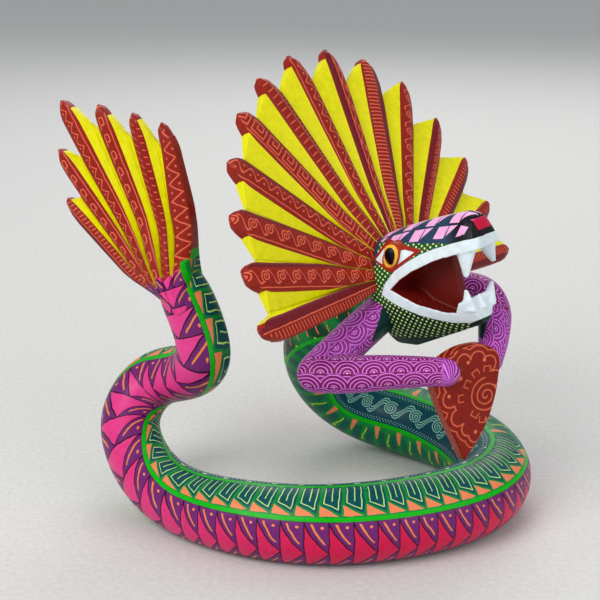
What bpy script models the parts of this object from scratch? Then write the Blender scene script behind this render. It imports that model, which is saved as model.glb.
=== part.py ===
"""A carved feathered serpent: coiled body, fan tail, rayed crest, open mouth,
and two arms holding a heart, all one block of wood standing on its coil.

Metres, +Z up. The origin is on the table, under the middle of the box round the carving.
The pose is written in shares of the height (see `unit`), the sections and
walls in their own named sizes.
"""
import math

import bmesh
import bpy
from mathutils import Matrix, Vector, geometry

# Driving dimensions
HEIGHT = 0.196             # table to the top of the crest
BODY_THICK = 0.0336        # body, where it is thickest
TAIL_THICK = 0.0226        # body, where it meets the tail fan
REST_DEPTH = 0.0009        # how much the coil is planed off underneath
CREST_RAYS = 14
RAY_THICK = 0.0056         # a crest or tail ray, front to back
WEB_THICK = 0.0020         # the wall left at the bottom of a groove
HEAD_LENGTH = 0.0540
HEAD_WIDTH = 0.0330
HEAD_HEIGHT = 0.0440
MOUTH_WALL = 0.0046        # the wall left standing down the middle of the mouth
LIP_WIDTH = 0.0030         # lip left standing round the hollow of the mouth
LIP_STEP = 0.0012          # how deep that hollow is
FANG_LENGTH = 0.0090
TOOTH_LENGTH = 0.0050
EYE_BULGE = 0.0010
ARM_THICK = 0.0164
WRIST_THICK = 0.0112
HEART_HEIGHT = 0.0480
HEART_THICK = 0.0078
HEART_EDGE = 0.0012        # rounding of the heart's rims

unit = HEIGHT / 196.0      # pose numbers below are in this unit


def remove_everything():
    for obj in list(bpy.data.objects):
        bpy.data.objects.remove(obj, do_unlink=True)


def new_collection(name):
    collection = bpy.data.collections.new(name)
    bpy.context.scene.collection.children.link(collection)
    return collection


def direction(yaw, pitch):
    """Unit vector: yaw turns it from +X toward the viewer (-Y), pitch lifts it."""
    yaw, pitch = math.radians(yaw), math.radians(pitch)
    return Vector((math.cos(pitch) * math.cos(yaw), -math.cos(pitch) * math.sin(yaw), math.sin(pitch)))


def frame_of(origin, forward):
    """Matrix with X along `forward`, Y level, Z what is left of up."""
    side = Vector((0, 0, 1)).cross(forward).normalized()
    up = forward.cross(side)
    return Matrix.Translation(origin) @ Matrix((forward, side, up)).transposed().to_4x4()


def smooth_step(low, high, value):
    t = min(max((value - low) / (high - low), 0.0), 1.0)
    return t * t * (3 - 2 * t)


def along(table, value):
    """Straight-line reading of a short (position, value) table."""
    for (x0, y0), (x1, y1) in zip(table, table[1:]):
        if value <= x1:
            return y0 + (y1 - y0) * max(value - x0, 0.0) / (x1 - x0)
    return table[-1][1]


def flowing_path(stations, steps, evening=0):
    """Smooth path through (x, y, z, radius) stations, as a list of (point, radius).

    Each round of `evening` averages every point with its neighbours, which
    rounds the tight bends so that a thick tube doesn't fold into itself there.
    """
    first = [2 * a - b for a, b in zip(stations[0], stations[1])]
    last = [2 * a - b for a, b in zip(stations[-1], stations[-2])]
    padded = [first, *stations, last]
    path = []
    for before, here, there, after in zip(padded, padded[1:], padded[2:], padded[3:]):
        place, size = [], []
        for out, part in ((place, slice(0, 3)), (size, slice(3, 4))):
            pad = (0.0,) * (3 - (part.stop - part.start))
            b, h, t, a = (Vector((*list(p)[part], *pad)) for p in (before, here, there, after))
            out += geometry.interpolate_bezier(h, h + (t - b) / 6, t - (a - h) / 6, t, steps + 1)[:-1]
        path += [(p.copy(), s.x) for p, s in zip(place, size)]
    path.append((Vector(stations[-1][:3]), stations[-1][3]))
    for _ in range(evening):
        inner = [((a[0] + 2 * b[0] + c[0]) / 4, (a[1] + 2 * b[1] + c[1]) / 4) for a, b, c in zip(path, path[1:], path[2:])]
        path = [path[0], *inner, path[-1]]
    return path


def tube(name, path, sides, collection):
    """A round bar that follows the path, with a radius at every point, as a mesh."""
    curve = bpy.data.curves.new(name, "CURVE")
    curve.dimensions = "3D"
    curve.twist_mode = "MINIMUM"
    curve.bevel_depth = 1.0
    curve.bevel_resolution = (sides - 4) // 2
    curve.use_fill_caps = True
    spline = curve.splines.new("POLY")
    spline.points.add(len(path) - 1)
    for knot, (place, radius) in zip(spline.points, path):
        knot.co = (*place, 1.0)
        knot.radius = radius
    return as_mesh(name, curve, collection)


def as_mesh(name, curve, collection):
    """Turn a curve into a mesh object with its caps welded on."""
    guide = bpy.data.objects.new(name + "_curve", curve)
    collection.objects.link(guide)
    bpy.context.view_layer.update()
    mesh = bpy.data.meshes.new_from_object(guide.evaluated_get(bpy.context.evaluated_depsgraph_get()))
    bpy.data.objects.remove(guide, do_unlink=True)
    bpy.data.curves.remove(curve)
    bm = bmesh.new()
    bm.from_mesh(mesh)
    bmesh.ops.remove_doubles(bm, verts=bm.verts, dist=0.00001)
    return finish(name, bm, collection, mesh)


def finish(name, bm, collection, mesh=None):
    bmesh.ops.triangulate(bm, faces=bm.faces)
    bmesh.ops.recalc_face_normals(bm, faces=bm.faces)
    mesh = mesh or bpy.data.meshes.new(name)
    bm.to_mesh(mesh)
    bm.free()
    obj = bpy.data.objects.new(name, mesh)
    collection.objects.link(obj)
    return obj


def loft(name, rings, collection):
    """Skin closed rings of equal count and cap both ends."""
    bm = bmesh.new()
    skin = [[bm.verts.new(p) for p in ring] for ring in rings]
    for lower, upper in zip(skin, skin[1:]):
        for i in range(len(lower)):
            j = (i + 1) % len(lower)
            bm.faces.new((lower[i], lower[j], upper[j], upper[i]))
    bm.faces.new(skin[0][::-1])
    bm.faces.new(skin[-1])
    return finish(name, bm, collection)


# The body: coil, neck and tail

def body_path():
    """The serpent's spine, from inside the head, round the coil, to the tail fan."""
    full, slim = BODY_THICK / 2, TAIL_THICK / 2

    def resting(share):
        return (full * share - REST_DEPTH) / unit

    # x, y, height of the spine, thickness as a share of BODY_THICK
    spine = (
        (58, 6, 99, 0.78),
        (45, 12, 94, 0.82),
        (31, 24, 90, 0.84),
        (16, 39, 79, 0.87),
        (6.5, 54, 58.5, 0.91),
        (11.5, 66, 36.5, 0.95),
        (30, 67.5, 20.5, 0.98),
        (57, 56, 16.5, 1.0),
        (80, 32, resting(0.985), 0.985),
        (87, 2, resting(0.965), 0.965),
        (74.5, -27, resting(0.95), 0.95),
        (44, -45, resting(0.935), 0.935),
        (8, -52, resting(0.915), 0.915),
        (-26, -42, resting(0.875), 0.875),
        (-52.5, -22, resting(0.84), 0.84),
        (-69, -2, 19.5, 0.80),
        (-77.5, 17, 34.5, 0.78),
        (-66, 26.5, 50.5, 0.76),
        (-49, 13, 57.5, 0.735),
        (-41, -1, 68.5, 0.705),
        (-42.5, -1, 82, slim / full),
        (-48, 0.8, 96, slim / full),
        (-51.7, 2, 104, slim / full * 0.84),
        (-54.4, 3, 109.5, slim / full * 0.58),
        (-56.5, 4, 114, slim / full * 0.2),
    )
    stations = [(x * unit, y * unit, z * unit, share * full) for x, y, z, share in spine]
    return flowing_path(stations, 4, evening=5)


# Rayed fans, used for the crest and for the tail

def ray_fan(name, place, angles, reach, root, depth, fade, pinch, collection):
    """A fan of raised rays with V grooves between them, grooved on both faces.

    `place` maps (angle, radius, lift) to a point, `angles` are the rays' angles
    in degrees, `reach` their lengths, `root` the radius where the fan starts.
    Each face swells by `depth` in the middle of the root, which dies out over
    the share of the length in `fade`, and `pinch` says how far the fan is
    gathered in there, so that it starts inside what carries it.
    """
    centre = (angles[0] + angles[-1]) / 2
    pitch = angles[1] - angles[0]
    half_span = abs(angles[-1] - angles[0]) / 2 + 0.4 * abs(pitch)
    rows = (0.0, 0.1, 0.24, 0.42, 0.78, 0.92, 1.0)
    half_ray = ((0.0, 0.40), (0.1, 0.34), (0.24, 0.27), (0.42, 0.235), (0.78, 0.225), (0.92, 0.19), (1.0, 0.09))
    front = RAY_THICK * 0.54
    back = RAY_THICK - front
    groove = RAY_THICK - WEB_THICK

    def column(angle, offset_of, length_of, cut_front, cut_back):
        strip = []
        for row in rows:
            open_up = smooth_step(0.06, 0.34, row)
            across = (angle + offset_of(row) * pitch - centre) / half_span
            swell = depth * (1 - smooth_step(*fade, row)) * math.sqrt(max(1 - across ** 2, 0))
            taper = 0.12 * RAY_THICK * smooth_step(0.85, 1.0, row)
            radius = root + (length_of - root) * row
            gather = 1 - pinch * (1 - smooth_step(0.0, 0.45, row))
            theta = math.radians(centre + (angle + offset_of(row) * pitch - centre) * gather)
            strip.append((place(theta, radius, front + swell - taper - cut_front * groove * open_up),
                          place(theta, radius, -back - swell + taper + cut_back * groove * open_up)))
        return strip

    columns = []
    for k, (angle, length) in enumerate(zip(angles, reach)):
        for share, shorten, cut in ((-1, 0.93, 1), (-1, 0.965, 0), (0, 1.0, 0), (1, 0.965, 0), (1, 0.93, 1)):
            wall = share * 0.045 if cut else 0.0
            columns.append(column(
                angle, lambda row, share=share, wall=wall: share * along(half_ray, row) + wall * smooth_step(0, 0.3, row),
                length * shorten, 0.42 * cut, 0.14 * cut))
        if k + 1 < len(angles):
            middle = (angle + angles[k + 1]) / 2
            columns.append(column(middle, lambda row: 0.0, 0.87 * (length + reach[k + 1]) / 2, 0.78, 0.22))

    bm = bmesh.new()
    grid = [[(bm.verts.new(f), bm.verts.new(b)) for f, b in strip] for strip in columns]
    for left, right in zip(grid, grid[1:]):
        for (lf, lb), (nlf, nlb), (rf, rb), (nrf, nrb) in zip(left, left[1:], right, right[1:]):
            bm.faces.new((lf, rf, nrf, nlf))
            bm.faces.new((lb, nlb, nrb, rb))
        bm.faces.new((left[0][0], left[0][1], right[0][1], right[0][0]))
        bm.faces.new((left[-1][0], right[-1][0], right[-1][1], left[-1][1]))
    for side in (grid[0], grid[-1]):
        for (f, b), (nf, nb) in zip(side, side[1:]):
            bm.faces.new((f, b, nb, nf))
    return finish(name, bm, collection)


def crest(collection):
    """Fourteen rays behind the head, leaning back from the way it faces."""
    at = frame_of(Vector((39.5, 6, 103)) * unit, direction(37, 28))
    angles = [181.3 - 14.35 * k for k in range(CREST_RAYS)]
    reach = [(90 + 14 * max(math.sin(math.radians(a + 12)), 0.05)) * unit for a in angles]

    def place(theta, radius, lift):
        return at @ Vector((lift, radius * math.cos(theta), radius * math.sin(theta)))

    return ray_fan("crest", place, angles, reach, 7 * unit, 0.0030, (0.0, 0.36), 0.0, collection)


def tail_fan(collection):
    """Six feathers that carry on the end of the tail, the fourth the longest."""
    facing = Vector((-math.sin(math.radians(25)), -math.cos(math.radians(25)), 0))
    at = frame_of(Vector((-53.2, 2.6, 108.3)) * unit, facing)
    apex_side, apex_up = 20.8 * unit, -36.5 * unit
    reach = [r * unit for r in (101, 108, 117, 128, 113, 98)]
    angles = [103 + 7.35 * k for k in range(len(reach))]

    def place(theta, radius, lift):
        return at @ Vector((lift, apex_side + radius * math.cos(theta), apex_up + radius * math.sin(theta)))

    return ray_fan("tail_fan", place, angles, reach, 24 * unit, TAIL_THICK * 0.36, (0.08, 0.5), 0.35, collection)


# The head

head_frame = None


def head_point(a, s, c):
    """Point `a` forward of the mouth corners, `s` toward the far side, `c` up."""
    return head_frame @ Vector((a, s, c))


def head(collection):
    """Skull and jaw as one loft along the head, then the mouth is cut open."""
    long, wide, tall = HEAD_LENGTH / 54, HEAD_WIDTH / 33, HEAD_HEIGHT / 44   # metres for each step below
    # how far forward, half width, top, bottom: the section's shape along the head
    sections = (
        (-12, 13.0, 15.0, -17.5),
        (-9, 15.8, 19.5, -23.2),
        (-2, 16.5, 21.8, -25.4),
        (8, 15.8, 23.2, -24.0),
        (18, 14.2, 23.8, -21.8),
        (28, 12.4, 24.0, -20.0),
        (35.5, 11.3, 23.8, -19.0),
        (39.4, 10.9, 22.2, -18.0),
        (41.2, 10.2, 17.5, -16.0),
    )
    count = 20
    rings = []
    for a, half, top, bottom in sections:
        ring = []
        for k in range(count):
            turn = 2 * math.pi * k / count
            cos, sin = math.cos(turn), math.sin(turn)
            across = math.copysign(abs(cos) ** 0.72, cos)
            upright = math.copysign(abs(sin) ** 0.8, sin)
            narrow = 1 - (0.26 * max(upright, 0) ** 2 if upright > 0 else (0.30 + 0.004 * a) * upright ** 2)
            height = (top if upright > 0 else -bottom) * upright
            ring.append(head_point(a * long, half * wide * across * narrow, height * tall))
        rings.append(ring)
    skull = loft("head", rings, collection)
    return skull, long, wide, tall


def mouth_cutter(name, outline, reach, collection):
    """A wedge pushed through the head from side to side, `reach(a)` to each side."""
    bm = bmesh.new()
    near = [bm.verts.new(head_point(a, -reach(a), c)) for a, c in outline]
    far = [bm.verts.new(head_point(a, reach(a), c)) for a, c in outline]
    bm.faces.new(near)
    bm.faces.new(far[::-1])
    for i in range(len(outline)):
        j = (i + 1) % len(outline)
        bm.faces.new((near[i], far[i], far[j], near[j]))
    return finish(name, bm, collection)


def open_mouth(skull, long, wide, tall, collection):
    """Cut the gape from both sides down to a wall in the middle, hollow inside the lips."""
    upper = ((0, 0), (5, 3.0), (11, 5.4), (20, 7.6), (30, 8.8))
    lower = ((31.8, -10.4), (26.8, -10.8), (24.2, -14.4), (20, -13.6), (10, -8.0))
    gape = [(a * long, c * tall) for a, c in (*upper, (60, 9.4), (60, -40), (32.4, -40), *lower)]
    step = LIP_STEP
    hollow = [(a * long + da, c * tall + dc) for (a, c), da, dc in (
        ((5, 1), 0, 0), ((11, 5.4), 0, step), ((20, 7.6), 0, step), ((27, 8.5), 0, step), ((27, 4), 0, 0),
        ((23.5, -8), 0, 0), ((23.0, -14.2), 0, -step), ((20, -13.6), 0, -step), ((10, -8.0), 0, -step), ((5, -2), 0, 0))]
    wide_open = mouth_cutter("gape", gape, lambda a: HEAD_WIDTH, collection)
    inner = mouth_cutter("hollow", hollow, lambda a: (15.4 - 0.13 * a / long) * wide - LIP_WIDTH, collection)
    wall = mouth_cutter("wall", [(a * long, c * tall) for a, c in ((-20, -30), (24, -30), (24, 30), (-20, 30))],
                        lambda a: MOUTH_WALL / 2, collection)
    combine(wide_open, inner, "UNION")
    combine(wide_open, wall, "DIFFERENCE")
    combine(skull, wide_open, "DIFFERENCE")


def tooth(name, a, s, c, length, radius, lean, collection):
    """A blunt cone, thinner across the jaw: `length` is negative for one that hangs."""
    base, tip = head_point(a, s, c), head_point(a + lean, s * 1.2, c + length)
    axis = tip - base
    bm = bmesh.new()
    bmesh.ops.create_cone(bm, cap_ends=True, segments=10, radius1=radius, radius2=radius * 0.22, depth=axis.length)
    bmesh.ops.scale(bm, vec=(1.0, 0.66, 1.0), verts=bm.verts)
    across = (head_point(0, 1, 0) - head_point(0, 0, 0)).normalized()
    turn = Matrix((across.cross(axis).normalized(), across, axis.normalized())).transposed().to_4x4()
    bmesh.ops.transform(bm, matrix=Matrix.Translation((base + tip) / 2) @ turn, verts=bm.verts)
    return finish(name, bm, collection)


def eye(name, s, long, wide, tall, collection):
    bm = bmesh.new()
    bmesh.ops.create_uvsphere(bm, u_segments=12, v_segments=7, radius=1.0)
    bmesh.ops.transform(bm, matrix=Matrix.Diagonal((4.6 * long, 0.0035 + EYE_BULGE, 5.4 * tall, 1.0)), verts=bm.verts)
    bmesh.ops.transform(bm, matrix=head_frame @ Matrix.Translation((4.0 * long, s, 13.8 * tall)), verts=bm.verts)
    return finish(name, bm, collection)


# Arms and heart

def round_end(path):
    """Carry the path on past its last point as half a ball."""
    (before, _), (last, radius) = path[-2:]
    ahead = (last - before).normalized()
    turns = [math.radians(a) for a in (28, 52, 72, 86)]
    return path + [(last + ahead * radius * math.sin(a), radius * math.cos(a)) for a in turns]


def limb(name, stations, collection):
    """A length of arm with round ends."""
    path = flowing_path([(x * unit, y * unit, z * unit, r) for x, y, z, r in stations], 2)
    return tube(name, round_end(round_end(path)[::-1]), 14, collection)


def arms(collection):
    thick, wrist = ARM_THICK / 2, WRIST_THICK / 2
    near_upper = limb("near_upper_arm", (
        (42, 6, 94, thick), (30, -9, 88.5, thick), (17, -21.5, 80.3, thick), (7.6, -29.6, 73.8, thick)), collection)
    near_fore = limb("near_forearm", (
        (6.6, -31.3, 73.3, thick * 0.97), (20, -33.2, 73.6, thick * 0.95), (34, -34.5, 74.8, thick * 0.88),
        (51, -36.2, 75.8, thick * 0.75), (61, -38, 76.0, wrist)), collection)
    far_arm = limb("far_arm", (
        (52, 14, 94, thick * 0.9), (66, 14, 96, thick * 0.92), (78, 10, 95, thick * 0.92), (82.5, 2, 89, thick * 0.9),
        (81.5, -8, 81, thick * 0.8), (79, -17, 74, wrist)), collection)
    return near_upper, near_fore, far_arm


def heart(collection):
    """A thick plate with a full top and one point below, held upright."""
    facing = Vector((math.sin(math.radians(25)), -math.cos(math.radians(25)), 0.12)).normalized()
    at = frame_of(Vector((67, -31, 61)) * unit, facing)
    size = HEART_HEIGHT / 48   # metres for each step below
    # right half from the top to the tip, then the left half back up
    right = ((1, 24), (9, 23), (15, 17), (15.6, 9), (13.4, -3), (8.2, -14))
    left = ((-6.4, -16), (-12.2, -6), (-15.4, 5), (-16, 13), (-13.4, 18), (-7, 22.6))
    curve = bpy.data.curves.new("heart", "CURVE")
    curve.dimensions = "2D"
    curve.fill_mode = "BOTH"
    curve.resolution_u = 3
    curve.extrude = HEART_THICK / 2 - HEART_EDGE
    curve.bevel_depth = HEART_EDGE
    curve.bevel_resolution = 1
    curve.offset = -HEART_EDGE
    spline = curve.splines.new("BEZIER")
    outline = (*right, (0, -24), *left)
    spline.bezier_points.add(len(outline) - 1)
    spline.use_cyclic_u = True
    for knot, (x, y) in zip(spline.bezier_points, outline):
        knot.co = (x * size, y * size, 0)
        kind = "VECTOR" if y == -24 else "AUTO"
        knot.handle_left_type = knot.handle_right_type = kind
    plate = as_mesh("heart", curve, collection)
    # the flat outline lies in XY: stand it up with its face along `facing`
    plate.data.transform(at @ Matrix.Rotation(math.radians(90), 4, "Y") @ Matrix.Rotation(math.radians(90), 4, "Z"))
    return plate


# Putting it together

def combine(target, tool, operation):
    """Boolean applied at once, so the next one starts clean.

    The forms graze each other at the neck and lips, where the EXACT solver
    leaves slits, so these use MANIFOLD: every piece here is closed.
    """
    modifier = target.modifiers.new(operation.lower(), "BOOLEAN")
    modifier.operation = operation
    modifier.solver = "MANIFOLD"
    modifier.object = tool
    bpy.context.view_layer.update()
    mesh = bpy.data.meshes.new_from_object(target.evaluated_get(bpy.context.evaluated_depsgraph_get()))
    target.modifiers.clear()
    target.data = mesh
    tool.hide_render = True
    tool.display_type = "WIRE"


def block(name, low, high, collection):
    bm = bmesh.new()
    bmesh.ops.create_cube(bm, size=1.0)
    low, high = Vector(low), Vector(high)
    bmesh.ops.transform(bm, matrix=Matrix.Translation((low + high) / 2) @ Matrix.Diagonal((*(high - low), 1.0)), verts=bm.verts)
    return finish(name, bm, collection)


def wood():
    material = bpy.data.materials.new("painted_copal_wood")
    material.use_nodes = True
    shader = material.node_tree.nodes["Principled BSDF"]
    shader.inputs["Base Color"].default_value = (0.02, 0.27, 0.05, 1.0)
    shader.inputs["Roughness"].default_value = 0.45
    shader.inputs["Metallic"].default_value = 0.0
    return material


def main():
    global head_frame
    remove_everything()
    parts = new_collection("alebrije")
    tools = new_collection("tools")
    head_frame = frame_of(Vector((47.1, -1.6, 103.9)) * unit, direction(37, 18))

    serpent = tube("feathered_serpent", body_path(), 18, parts)

    skull, long, wide, tall = head(tools)
    open_mouth(skull, long, wide, tall, tools)
    for side in (-1, 1):
        for piece in (
            tooth("fang", 35.2 * long, side * 7.0 * wide, 12.4 * tall, -FANG_LENGTH - 0.0034, 0.0052, -0.0006, tools),
            tooth("tooth", 28.8 * long, side * 6.9 * wide, -15.0 * tall, TOOTH_LENGTH + 0.0044, 0.0036, 0.0010, tools),
            eye("eye", side * 12.8 * wide, long, wide, tall, tools),
        ):
            combine(skull, piece, "UNION")

    for piece in (crest(tools), tail_fan(tools), skull, *arms(tools), heart(tools)):
        combine(serpent, piece, "UNION")
    combine(serpent, block("table", (-0.5, -0.5, -0.1), (0.5, 0.5, 0.0), tools), "DIFFERENCE")
    corners = [Vector(corner) for corner in serpent.bound_box]
    middle = (corners[0] + corners[6]) / 2
    serpent.data.transform(Matrix.Translation((-middle.x, -middle.y, 0)))
    serpent.data.materials.clear()
    serpent.data.materials.append(wood())


main()
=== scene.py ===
import math

import bmesh
import bpy
from mathutils import Matrix, Vector, geometry


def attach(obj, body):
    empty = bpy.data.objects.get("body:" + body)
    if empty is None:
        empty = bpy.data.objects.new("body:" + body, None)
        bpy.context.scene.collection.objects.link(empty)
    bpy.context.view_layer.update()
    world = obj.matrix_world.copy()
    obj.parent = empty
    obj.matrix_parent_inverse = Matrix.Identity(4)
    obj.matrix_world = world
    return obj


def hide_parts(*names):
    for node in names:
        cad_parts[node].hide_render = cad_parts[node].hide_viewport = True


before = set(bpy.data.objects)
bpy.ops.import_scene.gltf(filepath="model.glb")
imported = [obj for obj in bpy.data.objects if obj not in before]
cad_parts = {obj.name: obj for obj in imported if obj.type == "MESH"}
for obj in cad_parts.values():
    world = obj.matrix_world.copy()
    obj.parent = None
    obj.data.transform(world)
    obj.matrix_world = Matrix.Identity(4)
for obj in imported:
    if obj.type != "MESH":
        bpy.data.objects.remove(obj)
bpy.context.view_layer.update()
mm = 0.001
node = "feathered_serpent"
middle = Vector((1.4, -10.8, 0)) * mm      # the solid stands this far off its drawing


# Shape helpers

def direction(yaw, pitch):
    # yaw turns from +X toward the viewer, pitch lifts
    yaw, pitch = math.radians(yaw), math.radians(pitch)
    return Vector((math.cos(pitch) * math.cos(yaw), -math.cos(pitch) * math.sin(yaw), math.sin(pitch)))


def standAt(place, forward):
    # X along forward, Y level, Z what is left of up
    side = Vector((0, 0, 1)).cross(forward).normalized()
    turn = Matrix((forward, side, forward.cross(side))).transposed().to_4x4()
    return Matrix.Translation(Vector(place) * mm + middle) @ turn


def ease(low, high, value):
    t = min(max((value - low) / (high - low), 0.0), 1.0)
    return t * t * (3 - 2 * t)


def readTable(table, value):
    if value <= table[0][0]:
        return table[0][1]
    for (x0, y0), (x1, y1) in zip(table, table[1:]):
        if value <= x1:
            return y0 + (y1 - y0) * (value - x0) / (x1 - x0)
    return table[-1][1]


def flowingPath(stations, steps, evening=0):
    # a smooth path through (x, y, z, radius) stations
    first = [2 * a - b for a, b in zip(stations[0], stations[1])]
    last = [2 * a - b for a, b in zip(stations[-1], stations[-2])]
    padded = [first, *stations, last]
    path = []
    for before, here, there, after in zip(padded, padded[1:], padded[2:], padded[3:]):
        b, h, t, a = (Vector(p[:3]) for p in (before, here, there, after))
        points = geometry.interpolate_bezier(h, h + (t - b) / 6, t - (a - h) / 6, t, steps + 1)[:-1]
        b, h, t, a = (Vector((p[3], 0, 0)) for p in (before, here, there, after))
        sizes = geometry.interpolate_bezier(h, h + (t - b) / 6, t - (a - h) / 6, t, steps + 1)[:-1]
        path += [(p.copy(), s.x) for p, s in zip(points, sizes)]
    path.append((Vector(stations[-1][:3]), stations[-1][3]))
    for _ in range(evening):
        inner = [((a[0] + 2 * b[0] + c[0]) / 4, (a[1] + 2 * b[1] + c[1]) / 4)
                 for a, b, c in zip(path, path[1:], path[2:])]
        path = [path[0], *inner, path[-1]]
    return path


def runningLengths(points):
    lengths = [0.0]
    for a, b in zip(points, points[1:]):
        lengths.append(lengths[-1] + (b - a).length)
    return lengths


def nearTurn(angle, other):
    # the same angle, brought within half a turn of another
    while angle - other > math.pi:
        angle -= 2 * math.pi
    while angle - other < -math.pi:
        angle += 2 * math.pi
    return angle


def deselect():
    if bpy.context.object and bpy.context.object.mode != "OBJECT":
        bpy.ops.object.mode_set(mode="OBJECT")
    bpy.ops.object.select_all(action="DESELECT")


def pick(obj):
    deselect()
    obj.select_set(True)
    bpy.context.view_layer.objects.active = obj


def tidyMesh(obj, gap=0.02 * mm):
    # close seams and poles, and turn every face outwards
    pick(obj)
    bpy.ops.object.mode_set(mode="EDIT")
    bpy.ops.mesh.select_all(action="SELECT")
    bpy.ops.mesh.remove_doubles(threshold=gap)
    bpy.ops.mesh.dissolve_degenerate(threshold=gap / 4)
    bpy.ops.mesh.normals_make_consistent(inside=False)
    bpy.ops.object.mode_set(mode="OBJECT")


def wrapGrid(name, across, along, place):
    # a flat grid laid over a form: place(i, j) is a point of it
    deselect()
    bpy.ops.mesh.primitive_grid_add(x_subdivisions=across, y_subdivisions=along, size=1, calc_uvs=True)
    piece = bpy.context.object
    piece.name = piece.data.name = name
    mesh = piece.data
    spots = [(round((v.co.x + 0.5) * across), round((v.co.y + 0.5) * along)) for v in mesh.vertices]
    mesh.uv_layers[0].name = "paint"
    for vert, spot in zip(mesh.vertices, spots):
        vert.co = place(*spot)
    return piece, spots


def smoothOver(piece, grain, passes):
    # one even skin over forms that run into each other
    refine = piece.modifiers.new("remesh", "REMESH")
    refine.mode = "VOXEL"
    refine.voxel_size = grain * mm
    soften = piece.modifiers.new("soften", "SMOOTH")
    soften.iterations = passes
    soften.factor = 0.5
    pick(piece)
    for modifier in list(piece.modifiers):
        bpy.ops.object.modifier_apply(modifier=modifier.name)


def giveFinishes(piece, *finishes):
    piece.data.materials.clear()
    for finish in finishes:
        piece.data.materials.append(finish)
    for face in piece.data.polygons:
        face.material_index = 0


def handIn(piece, softAngle=40):
    pick(piece)
    bpy.ops.object.shade_smooth_by_angle(angle=math.radians(softAngle))
    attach(piece, "root")
    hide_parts(node)
    print(piece.name, len(piece.data.polygons), "faces")


# Paint: each finish is worked out with sums over a flat plan of the surface, in mm

woodLook = {
    "handScale": 230,                   # how quickly the painter's hand wanders
    "patchScale": 420,                  # patches of thin and thick paint
    "thinThick": (0.94, 1.05),
    "dullSpread": (-0.07, 0.12),        # roughness against the finish's own
    "grainScale": 900,
    "grainStretch": (1.0, 1.0, 0.25),
    "grainHeight": 0.3 * mm,
    "specular": 0.2,
}
desk = {"tree": None}       # the node tree being filled
colours = {}                # each piece adds its own: red, green and blue from 0 to 255


class Term:
    # a number that changes over the surface; arithmetic on it adds Math nodes
    def __init__(self, socket):
        self.socket = socket

    def __add__(self, other):
        return calc("ADD", self, other)

    def __sub__(self, other):
        return calc("SUBTRACT", self, other)

    def __rsub__(self, other):
        return calc("SUBTRACT", other, self)

    def __mul__(self, other):
        return calc("MULTIPLY", self, other)

    def __truediv__(self, other):
        return calc("DIVIDE", self, other)

    __radd__, __rmul__ = __add__, __mul__


def tint(name):
    # red, green and blue from 0 to 1, as light adds up
    return tuple(((c / 255 + 0.055) / 1.055) ** 2.4 if c > 10 else c / 255 / 12.92 for c in colours[name])


def plug(socket, value):
    # a colour's name, numbers, or what another node gives
    if isinstance(value, str):
        value = tint(value)
    if isinstance(value, Term):
        value = value.socket
    if isinstance(value, bpy.types.NodeSocket):
        desk["tree"].links.new(value, socket)
    elif isinstance(value, tuple):
        socket.default_value = (*value, 1)[:len(socket.default_value)]
    else:
        socket.default_value = value


def addNode(kind, *sockets, **settings):
    # sockets are pairs of a socket's name or number and what goes in
    made = desk["tree"].nodes.new("ShaderNode" + kind)
    for label, setting in settings.items():
        setattr(made, label, setting)
    for label, value in sockets:
        plug(made.inputs[label], value)
    return made


def calc(operation, *values, clamp=False):
    return Term(addNode("Math", *enumerate(values), operation=operation, use_clamp=clamp).outputs[0])


def calcAll(operation, values):
    out = values[0]
    for value in values[1:]:
        out = calc(operation, out, value)
    return out


def size(x):
    return calc("ABSOLUTE", x)


def least(*values):
    return calcAll("MINIMUM", values)


def most(*values):
    return calcAll("MAXIMUM", values)


def both(*masks):
    return calcAll("MULTIPLY", masks)


def times(x, factor, add=0.0, clamp=False):
    return calc("MULTIPLY_ADD", x, factor, add, clamp=clamp)


def fold(x, period, shift=0.0):
    # x within its own repeat, from -period/2 to period/2
    return calc("WRAP", x + shift if shift else x, period / 2, -period / 2)


def reach(x, y):
    return calc("SQRT", times(x, x, y * y))


def ink(distance, half=0.0, blur=0.1):
    # 1 inside `half` of a stroke's middle, 0 outside it
    return times(distance, -1 / blur, half / blur + 0.5, clamp=True)


def between(x, low, high, blur=0.1):
    return ink(size(x - (low + high) / 2), (high - low) / 2, blur)


def lineFrom(x, y, a, b):
    # distance to the straight stroke from a to b
    dx, dy = b[0] - a[0], b[1] - a[1]
    span = dx * dx + dy * dy
    px, py = (x - a[0] if a[0] else x), (y - a[1] if a[1] else y)
    share = times(py, dy / span, times(px, dx / span), clamp=True)
    return reach(times(share, -dx, px), times(share, -dy, py))


def strokes(x, y, *points):
    # distance to a chain of straight strokes
    return least(*(lineFrom(x, y, a, b) for a, b in zip(points, points[1:])))


def within(x, y, *corners):
    # how far inside a form with straight sides; negative inside, corners run counterclockwise
    sides = []
    for a, b in zip(corners, (*corners[1:], corners[0])):
        nx, ny = b[1] - a[1], a[0] - b[0]
        long = math.hypot(nx, ny)
        sides.append(times(y, ny / long, times(x, nx / long, -(a[0] * nx + a[1] * ny) / long)))
    return most(*sides)


def spiralFrom(x, y, gap, turns, start=0.0, hand=1):
    # distance to a spiral round (0, 0) with `turns` turns, `gap` apart
    winding = times(calc("ARCTAN2", y, x), hand / (2 * math.pi), start)
    place = times(reach(x, y), 1 / gap) - winding
    ring = least(calc("ROUND", place), calc("FLOOR", turns - winding))
    ring = most(ring, calc("CEIL", 0.0 - winding))
    return size(place - ring) * gap


def zigzagFrom(x, y, period, height):
    # y swings between -height and height, once each period
    wave = times(calc("PINGPONG", x, period / 2), 4 * height / period, -height)
    return size(y - wave) * math.cos(math.atan(4 * height / period))


def waveFrom(x, y, period, height, shift=0.0):
    turn = times(x, 2 * math.pi / period, 2 * math.pi * shift / period)
    return size(y - calc("SINE", turn) * height) * 0.8


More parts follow.
